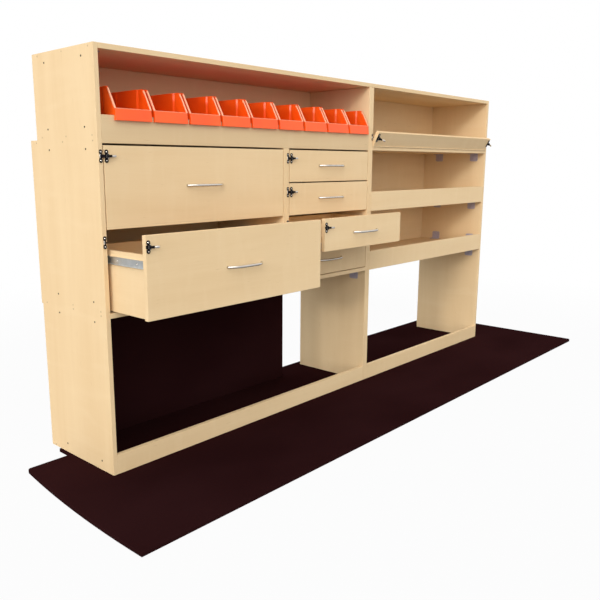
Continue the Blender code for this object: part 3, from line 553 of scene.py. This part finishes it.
def addHandle(item):
    # Bow of flattened bar: its section is swept along the arch, one ring at a time
    def spotAt(share):
        return Vector((handle["half"] * share, -handle["footHeight"] - (handle["rise"] - handle["footHeight"])
                       * (1 - abs(share) ** handle["fullness"]), 0))

    name = item["name"]
    bm = bmesh.new()
    ring = bmesh.ops.create_circle(bm, cap_ends=False, segments=handle["sides"], radius=1)["verts"]
    frames = []
    for step in range(handle["steps"] + 1):
        share = 2 * step / handle["steps"] - 1
        share = math.copysign(abs(share) ** handle["crowding"], share)
        back, forth = max(share - handle["tangent"], -1), min(share + handle["tangent"], 1)
        ahead = (spotAt(forth) - spotAt(back)).normalized()
        across = Vector((0, 0, 1))
        turn = Matrix((ahead.cross(across), across, ahead)).transposed().to_4x4()
        middle = 1 - abs(share) ** handle["endPower"]
        wide = handle["width"] * (handle["endWidth"] + (1 - handle["endWidth"]) * middle)
        frames.append(Matrix.Translation(spotAt(share)) @ turn
                      @ Matrix.Diagonal((handle["thickness"], wide, 1, 1)))
    bmesh.ops.transform(bm, matrix=frames[0], verts=ring)
    first = edges = list(bm.edges)
    for before, after in zip(frames, frames[1:]):
        grown = bmesh.ops.extrude_edge_only(bm, edges=edges)["geom"]
        verts = [part for part in grown if isinstance(part, bmesh.types.BMVert)]
        edges = [part for part in grown if isinstance(part, bmesh.types.BMEdge)]
        bmesh.ops.transform(bm, matrix=after @ before.inverted(), verts=verts)
    bmesh.ops.holes_fill(bm, edges=first + edges, sides=0)
    for end in (-handle["half"], handle["half"]):
        addRod(bm, (end, -handle["footSink"], 0), (end, -handle["footHeight"] - handle["footLap"], 0),
               handle["footRadius"], handle["footSides"], handle["footRadius"] * handle["footTaper"])
    outward(bm)
    place = Matrix.Translation((item["left"] + item["width"] / 2, -item["opening"],
                                item["foot"] + item["height"] / 2))
    bmesh.ops.transform(bm, matrix=atDatum @ place, verts=bm.verts)
    finished(f"{name}_bow_handle", bm, chrome, name, (f"{name}_handle",),
             smooth=handle["smooth"])


for item in drawers:
    addRunner(item, -1)
    addRunner(item, 1)
    addHandle(item)
print("runners and handles made")


# Latches

latch = {"height": 0.0365, "keeperWidth": 0.0098, "baseWidth": 0.0115, "sheet": 0.002, "waist": 0.0062,
         "waistHeight": 0.0110, "endSteps": 6, "plateShift": -0.0014, "screwOffset": 0.0120,
         "screwRadius": 0.0024, "screwRise": 0.0011, "keeperReach": 0.0098, "baseReach": 0.01015,
         "postRadius": 0.0022, "postLength": 0.0045, "postShift": 0.0012, "linkHeight": 0.0095,
         "linkSheet": 0.0018, "linkLift": 0.0023, "linkRadius": 0.0026, "linkRight": 0.0030,
         "linkOverlap": 0.0035, "openLink": 0.0110, "earSpacing": 0.0090, "earSheet": 0.0016,
         "earRadius": 0.0028, "pinRise": 0.0078, "pinRadius": 0.0014, "pinEnd": 0.0008,
         "strapWidth": 0.0034, "strapHeight": 0.0110, "strapRise": 0.0032, "strapShift": -0.0026,
         "strapRadius": 0.0012, "strapEase": 0.0004, "ribWidth": 0.00238, "ribHeight": 0.00924,
         "ribShift": -0.0021, "ribRise": 0.0004}
lever = {"sleeve": 0.0118, "sleeveStart": 0.001, "sleeveRadius": 0.0026, "sleeveBack": 0.0012,
         "sleeveFront": 0.0024, "sleeveGap": 0.0004, "neck": 0.0070, "length": 0.0265, "head": 0.0066,
         "headRound": 0.8, "headSteps": 8, "sheet": 0.0018, "back": 0.0006, "waist": 0.0036,
         "waistStart": 0.006, "waistEnd": 0.0125, "headStart": 0.0155, "ease": 0.0006, "openAngle": 20}


def waistedStrip(width):
    # Plate outline with two round ends and a narrower waist
    low, high = latch["waistHeight"] / 2, latch["height"] / 2 - width / 2
    half = [(latch["waist"] / 2, low), (width / 2, (low + high) / 2)]
    for step in range(latch["endSteps"] + 1):
        angle = math.pi / 2 * step / latch["endSteps"]
        half.append((width / 2 * math.cos(angle), high + width / 2 * math.sin(angle)))
    right = [(x, -y) for x, y in reversed(half)] + half
    return right + [(-x, y) for x, y in reversed(right) if x > sameSpot]


def addPlateWithScrews(dark, bright, x, width):
    # Waisted plate on the plane y = 0, seen from the front, with a screw at each end
    addPlate(dark, waistedStrip(width), latch["sheet"], Matrix.Translation((x, 0, 0)) @ facingFront)
    for side in (-1, 1):
        addScrew(bright, Vector((x, -latch["sheet"], side * latch["screwOffset"])), (0, -1, 0),
                 latch["screwRadius"], latch["screwRise"])


def finishParts(name, place, body, parts):
    # Each part: its name, mesh, material, slot (not used) and the nodes that it replaces
    for part, bm, material, slotName, nodes in parts:
        bmesh.ops.transform(bm, matrix=place, verts=bm.verts)
        finished(f"{name}_{part}", bm, material, body, nodes, smooth=metalSmooth)


def addKeeper(name, place):
    dark, bright, strap = bmesh.new(), bmesh.new(), bmesh.new()
    addPlateWithScrews(dark, bright, 0, latch["keeperWidth"])
    shift = latch["postShift"]
    addRod(dark, (shift, 0, 0), (shift, -latch["sheet"] - latch["postLength"], 0), latch["postRadius"])
    addPlate(strap, roundedStrip(latch["strapWidth"], latch["strapHeight"], latch["strapRadius"], 3),
             latch["strapRise"], Matrix.Translation((latch["strapShift"], 0, 0)) @ facingFront)
    ease(strap, latch["strapEase"], 1)
    finishParts(f"{name}_keeper", place, "carcass", (("plate", dark, blackSteel, "zinc_plated_steel", ()),
                                                     ("screws", bright, chrome, "bright_chrome", ()),
                                                     ("strap", strap, zinc, "zinc_plated_steel", ())))


def addBase(name, place, body, linked):
    dark, bright, pin = bmesh.new(), bmesh.new(), bmesh.new()
    rise, sheet = latch["pinRise"], latch["earSheet"]
    addPlateWithScrews(dark, bright, latch["plateShift"], latch["baseWidth"])
    for side in (-1, 1):
        near = side * (latch["earSpacing"] + sheet) / 2
        addRod(dark, (0, -rise, near - sheet / 2), (0, -rise, near + sheet / 2), latch["earRadius"])
        addBox(dark, (-latch["earRadius"], -rise, near - sheet / 2),
               (latch["earRadius"], -latch["sheet"] / 2, near + sheet / 2))
    reach = latch["earSpacing"] / 2 + sheet + latch["pinEnd"]
    addRod(pin, (0, -rise, -reach), (0, -rise, reach), latch["pinRadius"])
    shift, wide, tall = latch["ribShift"], latch["ribWidth"], latch["ribHeight"]
    addBox(pin, (shift - wide / 2, -latch["linkLift"] - latch["linkSheet"] - latch["ribRise"], -tall / 2),
           (shift + wide / 2, -latch["sheet"], tall / 2))

    # The link hooks on the keeper's post while the drawer is shut
    left = -latch["keeperReach"] - latch["baseReach"] - latch["linkOverlap"] if linked else -latch["openLink"]
    right = latch["linkRight"]
    addPlate(dark, roundedStrip(right - left, latch["linkHeight"], latch["linkRadius"]), latch["linkSheet"],
             Matrix.Translation(((left + right) / 2, -latch["linkLift"], 0)) @ facingFront)
    finishParts(f"{name}_latch", place, body, (("base", dark, blackSteel, "zinc_plated_steel", ()),
                                               ("screws", bright, chrome, "bright_chrome", ()),
                                               ("pin", pin, zinc, "zinc_plated_steel", ())))


def addLever(name, place, body, node):
    # Black sleeve on the pin, and a bright tongue with a waist and a rounded thumb tip
    half = latch["earSpacing"] / 2 - lever["sleeveGap"]
    sleeve = bmesh.new()
    addRod(sleeve, (0, 0, -half), (0, 0, half), lever["sleeveRadius"])
    addBox(sleeve, (lever["sleeveStart"], -lever["sleeveFront"], -lever["neck"] / 2),
           (lever["sleeve"], lever["sleeveBack"], lever["neck"] / 2))
    tongue = bmesh.new()
    head, waist = lever["head"] / 2, lever["waist"] / 2
    outline = [(lever["waistStart"], waist), (lever["waistEnd"], waist), (lever["headStart"], head)]
    tip = head * lever["headRound"]
    for step in range(lever["headSteps"] + 1):
        angle = math.pi / 2 - math.pi * step / lever["headSteps"]
        outline.append((lever["length"] - tip + tip * math.cos(angle), head * math.sin(angle)))
    outline += [(x, -z) for x, z in reversed(outline[:3])]
    addPlate(tongue, outline, lever["sheet"],
             Matrix.Translation((0, lever["sheet"] / 2 - lever["back"], 0)) @ facingFront)
    outward(tongue)
    ease(tongue, lever["ease"])
    finishParts(f"{name}_lever", place, body, (("sleeve", sleeve, blackSteel, "zinc_plated_steel", ()),
                                               ("tongue", tongue, chrome, "bright_chrome", (node,))))


def lifted(degrees):
    # A lever's place on its base, turned out from the front
    return Matrix.Translation((0, -latch["pinRise"], 0)) @ Matrix.Rotation(math.radians(-degrees), 4, "Z")


for item in drawers:
    level = item["foot"] + item["latch"]
    addKeeper(item["name"], atDatum @ Matrix.Translation((item["left"] - latch["keeperReach"], 0, level)))
    place = atDatum @ Matrix.Translation((item["left"] + latch["baseReach"], -item["opening"], level))
    addBase(item["name"], place, item["name"], not item["opening"])
    addLever(item["name"], place @ lifted(lever["openAngle"] if item["opening"] else 0),
             f"{item['name']}_lever", f"{item['name']}_latch_lever")
print("latches made")


# Tip-out flap

flap = {"sideGap": 0.002, "height": 0.0605, "foot": 0.0007, "front": 0.0026, "axisY": -0.0026,
        "axisZ": 1.0017, "tilt": 28, "leverLift": 60, "latchDrop": 0.0245, "keeperScale": (0.55, 1, 0.75),
        "keeperReach": 0.0080}


def addFlap():
    left = centreLine + stock + flap["sideGap"]
    right = carcass["width"] - stock - flap["sideGap"]
    tilted = (atDatum @ Matrix.Translation((left, flap["axisY"], flap["axisZ"]))
              @ Matrix.Rotation(math.radians(flap["tilt"]), 4, "X"))
    addBoard("flap_front_board", (0, flap["front"], flap["foot"]),
             (right - left, flap["front"] + front["thickness"], flap["foot"] + flap["height"]), alongX,
             ("flap_front",), "flap", place=tilted)
    level = flap["foot"] + flap["height"] - flap["latchDrop"]
    for side, keeperX, baseX, turn in (
            ("left", left - flap["keeperReach"], latch["baseReach"], 0),
            ("right", right + flap["keeperReach"], right - left - latch["baseReach"], 180)):
        turned = Matrix.Rotation(math.radians(turn), 4, "Y")
        addKeeper(f"flap_{side}", atDatum @ Matrix.Translation((keeperX, 0, flap["axisZ"] + level)) @ turned
                  @ Matrix.Diagonal((*flap["keeperScale"], 1)))
        place = tilted @ Matrix.Translation((baseX, flap["front"], level)) @ turned
        addBase(f"flap_{side}", place, "flap", False)
        addLever(f"flap_{side}", place @ lifted(flap["leverLift"]), f"flap_lever_{side}",
                 f"flap_latch_lever_{side}")
    for node in ("flap_hinge_fixed_leaf", "flap_hinge_moving_leaf"):
        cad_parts[node].material_slots[0].material = brass


addFlap()
print("flap made")


# Bins. Each step of the side walls has its start, its end and how far it goes in

bins = {"count": 9, "pitch": 0.1362, "firstLeft": 0.0577, "width": 0.1235, "noseWidth": 0.1256,
        "foot": 1.0153, "top": 1.1425, "rear": 0.288, "topFront": 0.0264, "noseFoot": 1.048, "noseTop": 1.081,
        "noseY": -0.0078, "hookTop": 1.0632, "hookFront": -0.0012, "hookRear": 0.0162,
        "draft": 0.003, "steps": ((0.048, 0.055, 0.0036), (0.152, 0.156, 0.0020)), "rimOut": 0.0018,
        "rimIn": 0.0026, "rimDrop": 0.0040, "rimRise": 0.0006, "corner": 0.015, "cornerSteps": 6,
        "rimEnd": 0.0008, "rimLap": 0.0025, "rearLap": 0.0015, "ease": 0.0006, "wall": 0.0024,
        "noseDrop": 0.0009, "noseLip": 0.0006, "noseFront": 0.0004, "noseLean": 0.0036,
        "easeSteps": 2, "easeAngle": 25, "lidFacing": 0.3}


def roundedTurn(before, corner, after, radius, steps):
    # Points of the arc that rounds one corner of an outline
    corner = Vector(corner)
    back = (Vector(before) - corner).normalized()
    ahead = (Vector(after) - corner).normalized()
    half = back.angle(ahead) / 2
    centre = corner + (back + ahead).normalized() * radius / math.sin(half)
    start = corner + back * radius / math.tan(half)
    end = corner + ahead * radius / math.tan(half)
    return [tuple(centre + (start.lerp(end, step / steps) - centre).normalized() * radius)
            for step in range(steps + 1)]


def beside(path, distance):
    # The path moved to its left by a distance
    moved = []
    for number, spot in enumerate(path):
        before, after = path[max(number - 1, 0)], path[min(number + 1, len(path) - 1)]
        ahead = (Vector(after) - Vector(before)).normalized()
        moved.append((spot[0] - ahead.y * distance, spot[1] + ahead.x * distance))
    return moved


def addBin(index):
    name = f"bin_{index + 1}"
    left = bins["firstLeft"] + index * bins["pitch"]
    noseTop, wallTop = (bins["noseY"], bins["noseTop"]), bins["top"]
    turn = roundedTurn(noseTop, (bins["topFront"], wallTop), (bins["rear"], wallTop), bins["corner"],
                       bins["cornerSteps"])
    outline = [noseTop, (bins["noseY"] - bins["noseLean"], bins["noseFoot"]),
               (bins["hookFront"], bins["noseFoot"]), (bins["hookFront"], bins["hookTop"]),
               (bins["hookRear"], bins["hookTop"]), (bins["hookRear"] + bins["draft"], bins["foot"]),
               (bins["rear"] - bins["draft"], bins["foot"]), (bins["rear"], wallTop), *reversed(turn)]
    bm = bmesh.new()
    addPlate(bm, outline, bins["width"], standing(left))
    outward(bm)

    # The top and the slope behind the nose are open
    lid = [face for face in bm.faces if len(face.verts) == 4 and face.normal.z > bins["lidFacing"]
           and min(vert.co.z for vert in face.verts) > bins["noseTop"] - sameLength]
    bmesh.ops.delete(bm, geom=lid, context="FACES")

    # The side walls step in towards the rear
    middle = left + bins["width"] / 2
    for start, end, inset in bins["steps"]:
        for depth in (start, end):
            bmesh.ops.bisect_plane(bm, geom=list(bm.verts) + list(bm.edges) + list(bm.faces), dist=sameSpot,
                                   plane_co=(0, depth, 0), plane_no=(0, 1, 0))
        for vert in bm.verts:
            if vert.co.y > end - sameLength:
                vert.co.x -= math.copysign(inset, vert.co.x - middle)
    for vert in bm.verts:
        if vert.co.y < 0 and abs(vert.co.z - bins["noseFoot"]) < sameLength:
            vert.co.x = middle + (vert.co.x - middle) * bins["noseWidth"] / bins["width"]
    bmesh.ops.transform(bm, matrix=atDatum, verts=bm.verts)
    shell = finished(name + "_shell", bm, orange, name, (name,))
    wall = shell.modifiers.new("wall", "SOLIDIFY")
    wall.thickness = bins["wall"]
    wall.offset = -1
    wall.use_even_offset = True
    soft = shell.modifiers.new("soft edges", "BEVEL")
    soft.width = bins["ease"]
    soft.segments = bins["easeSteps"]
    soft.limit_method = "ANGLE"
    soft.angle_limit = math.radians(bins["easeAngle"])

    # A thicker rim. Along the slopes and the nose it is paler orange: a painted highlight for the light that
    # these edges catch
    rim, lip = bmesh.new(), bmesh.new()
    top, foot = wallTop + bins["rimRise"], wallTop + bins["rimRise"] - bins["rimDrop"]
    (firstStart, firstEnd, first), (secondStart, _, second) = bins["steps"]
    inset, rear = first + second, bins["rear"] + bins["rimEnd"]
    path, seam = [noseTop, *turn], bins["cornerSteps"] // 2
    for end in (-1, 1):
        face = middle + end * bins["width"] / 2
        low, high = sorted((face + end * bins["rimOut"], face - end * bins["rimIn"]))
        for mesh, stretch in ((lip, path[:seam + 1]), (rim, path[seam:])):
            strip = beside(stretch, bins["rimRise"]) + beside(stretch, -bins["rimDrop"])[::-1]
            addPlate(mesh, strip, high - low, standing(low))
        for start, finish, shift in ((turn[-1][0], firstStart + bins["rimLap"], 0),
                                     (firstEnd - bins["rimLap"], secondStart + bins["rimLap"], first),
                                     (secondStart + bins["rearLap"], rear, inset)):
            low, high = sorted((face + end * (bins["rimOut"] - shift), face - end * (bins["rimIn"] + shift)))
            addBox(rim, (low, start, foot), (high, finish, top))
    addBox(rim, (left + inset - bins["rimOut"], bins["rear"] - bins["rimIn"], foot),
           (left + bins["width"] - inset + bins["rimOut"], rear, top))
    addBox(lip, (left, bins["noseY"] - bins["noseFront"], bins["noseTop"] - bins["noseDrop"]),
           (left + bins["width"], bins["noseY"] + bins["noseLip"], bins["noseTop"] + bins["rimRise"]))
    # the lip along the slopes and the nose gets the orange with the painted highlight
    for part, mesh, material in (("rim", rim, orange), ("lip", lip, highlightOrange)):
        outward(mesh)
        ease(mesh, bins["ease"])
        bmesh.ops.transform(mesh, matrix=atDatum, verts=mesh.verts)
        finished(f"{name}_{part}", mesh, material, name)


for index in range(bins["count"]):
    addBin(index)
print("bins made")


# Angle brackets and screws

brackets = {"leg": 0.039, "foot": 0.034, "width": 0.042, "sheet": 0.0022, "bend": 0.004, "bendSteps": 4,
            "corner": 0.007, "depths": (0.038, 0.240), "screwRise": 0.015, "outerRise": 0.029,
            "screwRadius": 0.0038, "screwHead": 0.0016, "screwShift": 0.001,
            "cornerSteps": 4, "endShare": 0.999}


def bendPoints(centre, radius, start, turn):
    # Points within a quarter turn, without its two ends
    steps = brackets["bendSteps"]
    angles = [start + turn * math.pi / 2 * step / steps for step in range(1, steps)]
    return [(centre + radius * math.cos(angle), centre + radius * math.sin(angle)) for angle in angles]


def addBracket(steel, screws, face, side, corner, rise, depth):
    sheet, bend, width = brackets["sheet"], brackets["bend"], brackets["width"]
    leg, foot, inner = brackets["leg"], brackets["foot"], sheet + bend
    profile = [(joint, inner), (joint, leg), (sheet, leg), (sheet, inner),
               *bendPoints(inner, bend, math.pi, 1), (inner, sheet), (foot, sheet), (foot, 0), (bend, 0),
               *bendPoints(inner, inner, math.pi * 1.5, -1)]
    place = (atDatum @ Matrix.Translation((face, depth + width, corner + rise * clearance))
             @ Matrix.Diagonal((side, 1, rise, 1)))
    before = set(steel.verts)
    addPlate(steel, profile, width, facingFront)
    fresh = [vert for vert in steel.verts if vert not in before]
    ends = [edge for edge in steel.edges if edge.verts[0] in fresh
            and abs(edge.verts[0].co.y - edge.verts[1].co.y) < sameSpot
            and all(max(vert.co.x / foot, vert.co.z / leg) > brackets["endShare"] for vert in edge.verts)]
    ease(steel, brackets["corner"], brackets["cornerSteps"], ends)
    fresh = [vert for vert in steel.verts if vert not in before]
    bmesh.ops.transform(steel, matrix=place, verts=fresh)
    for rung in (brackets["screwRise"], brackets["outerRise"]):
        for spot, facing in (((sheet, -width / 2, rung), (side, 0, 0)),
                             ((rung - brackets["screwShift"], -width / 2, sheet), (0, 0, rise))):
            addScrew(screws, place @ Vector(spot), facing, brackets["screwRadius"], brackets["screwHead"])


def addBrackets(name, face, side, corners):
    steel, screws = bmesh.new(), bmesh.new()
    for corner, rise in corners:
        for depth in brackets["depths"]:
            addBracket(steel, screws, face, side, corner, rise, depth)
    outward(steel)
    finished(f"{name}_brackets", steel, blued, smooth=metalSmooth)
    finished(f"{name}_bracket_screws", screws, blued, smooth=metalSmooth)


unitTop, baseUnderside = carcass["unitTop"], carcass["baseTop"] - stock
shelfCorners = [(unitTop + carcass["shelfLift"], -1), (carcass["middleTop"] - stock, -1),
                (carcass["lowerTop"], 1), (baseUnderside, -1)]
addBrackets("left_side", stock, 1, [(ceiling, -1), (carcass["binShelfTop"], 1), (unitTop, -1),
                                    (carcass["baseTop"], 1), (baseUnderside, -1), (0, 1)])
addBrackets("right_side", carcass["width"] - stock, -1, shelfCorners)
addBrackets("divider_right", centreLine + stock, 1, shelfCorners)
addBrackets("divider_left", centreLine - stock, -1, [(baseUnderside, -1)])

# Places as depth and height on the side panel
panelScrews = {
    "bolts": [(y, z) for y in (0.061, 0.260) for z in (1.220, 1.030, 0.9697, 0.530, 0.470, 0.031)],
    "caps": [(y, z) for z in (1.242, 1.007) for y in (0.025, 0.161, 0.297)]
            + [(0.023, 0.992), (0.182, 0.992), (0.335, 0.992), (0.026, 0.506), (0.177, 0.506), (0.026, 0.493),
               (0.177, 0.493), (0.334, 0.493), (0.335, 0.006)],
    "boltRadius": 0.0030, "boltRise": 0.0006, "capRadius": 0.0026, "capRise": 0.0005,
}


def addPanelScrews(name, face, side):
    for kind, part, material in (("bolt", "bolts", blackSteel), ("cap", "screws", bronze)):
        bm = bmesh.new()
        for y, z in panelScrews[f"{kind}s"]:
            addScrew(bm, datum + Vector((face, y, z)), (side, 0, 0), panelScrews[f"{kind}Radius"],
                     panelScrews[f"{kind}Rise"])
        finished(f"{name}_{part}", bm, material, smooth=metalSmooth)


addPanelScrews("left_side", 0, -1)
addPanelScrews("right_side", carcass["width"], 1)
print("brackets and screws made")


# Light, floor and camera

light = {"sky": 0.780, "skyColor": (0.95, 1.0, 1.06), "floorSize": 30, "floorColor": (0.33, 0.33, 0.33),
         "floorGlow": (0.96, 1.0), "fade": (1.8, 3.4), "lampDistance": 3}

# Each lamp: where it shines from, the spread of its light in degrees, and its strength
lamps = {"side": ((-1.0, -0.195, 0.163), 4, 0.53), "key": ((-1.6, -1.0, 0.84), 20, 0.273),
         "fill": ((-1.0, -0.4, 0.4), 60, 1.26), "front": ((-0.5, -1.0, 0.3), 60, 0.56),
         "top": ((-0.3, -0.6, 1.2), 40, 0.66)}


def makeWorld():
    # A soft sky that the camera, gloss and glass see as plain white
    world = bpy.data.worlds.new("studio")
    bpy.context.scene.world = world
    world.use_nodes = True
    sky = Nodes(world.node_tree)
    camera, glossy, clear = (sky.node("ShaderNodeLightPath", output=f"Is {ray} Ray")
                             for ray in ("Camera", "Glossy", "Transmission"))
    seen = 1 - (1 - camera) * (1 - glossy) * (1 - clear)
    background = sky.tree.nodes["Background"]
    sky.join(background.inputs["Strength"], sky.spread(seen, 0, 1, light["sky"], 1))
    sky.join(background.inputs["Color"], sky.mix(seen, light["skyColor"], (1, 1, 1)))


def makeFloor():
    # Pale floor that glows a little for the camera, so that only a soft shadow is left on it
    bm = bmesh.new()
    bmesh.ops.create_grid(bm, x_segments=1, y_segments=1, size=light["floorSize"])
    mesh = bpy.data.meshes.new("studio_floor")
    bm.to_mesh(mesh)
    bm.free()
    floor = Finish("studio_floor", Base_Color=light["floorColor"], Roughness=0.9, Specular_IOR_Level=0.0)
    camera = floor.node("ShaderNodeLightPath", output="Is Camera Ray")
    place = floor.node("ShaderNodeTexCoord", output="Object")
    reach = floor.node("ShaderNodeVectorMath", {"operation": "LENGTH"}, {0: place}, "Value")
    glow = floor.node("ShaderNodeEmission", {}, {"Color": (1, 1, 1), "Strength": 1.0}, "Emission")
    share = camera * floor.spread(reach, *light["fade"], *light["floorGlow"])
    lit = Wire(floor, floor.shader.outputs[0])
    floor.join(floor.tree.nodes["Material Output"].inputs["Surface"],
               floor.node("ShaderNodeMixShader", {}, {0: share, 1: lit, 2: glow}))
    mesh.materials.append(floor.material)
    ground = newObject("studio_floor", mesh)


def makeLamps():
    for name, (shineFrom, spread, strength) in lamps.items():
        sun = bpy.data.lights.new(name, "SUN")
        sun.energy = strength
        sun.angle = math.radians(spread)
        lamp = newObject(name, sun)
        lamp.location = Vector(shineFrom) * light["lampDistance"]
        lamp.rotation_euler = (-Vector(shineFrom)).to_track_quat("-Z", "Y").to_euler()


view = {"place": (-2.3025, -1.6760, 0.9336), "yaw": 43.045, "pitch": 11.307, "roll": -0.061,
        "lens": 40.716, "shift": (0.04938, 0.00320)}


def makeCamera():
    yaw, pitch, roll = (math.radians(view[name]) for name in ("yaw", "pitch", "roll"))
    right = Vector((math.sin(yaw), -math.cos(yaw), 0))
    forward = Vector((math.cos(yaw) * math.cos(pitch), math.sin(yaw) * math.cos(pitch), -math.sin(pitch)))
    up = right.cross(forward)
    rolledRight = right * math.cos(roll) + up * math.sin(roll)
    rolledUp = up * math.cos(roll) - right * math.sin(roll)
    turn = Matrix((rolledRight, rolledUp, -forward)).transposed()
    lens = bpy.data.cameras.new("camera")
    lens.sensor_width = 36
    lens.lens = view["lens"]
    lens.shift_x, lens.shift_y = view["shift"]
    camera = newObject("camera", lens)
    camera.matrix_world = Matrix.Translation(view["place"]) @ turn.to_4x4()
    bpy.context.scene.camera = camera


makeWorld()
makeFloor()
makeLamps()
makeCamera()
bpy.context.scene.view_settings.view_transform = "Standard"
print("stage made")
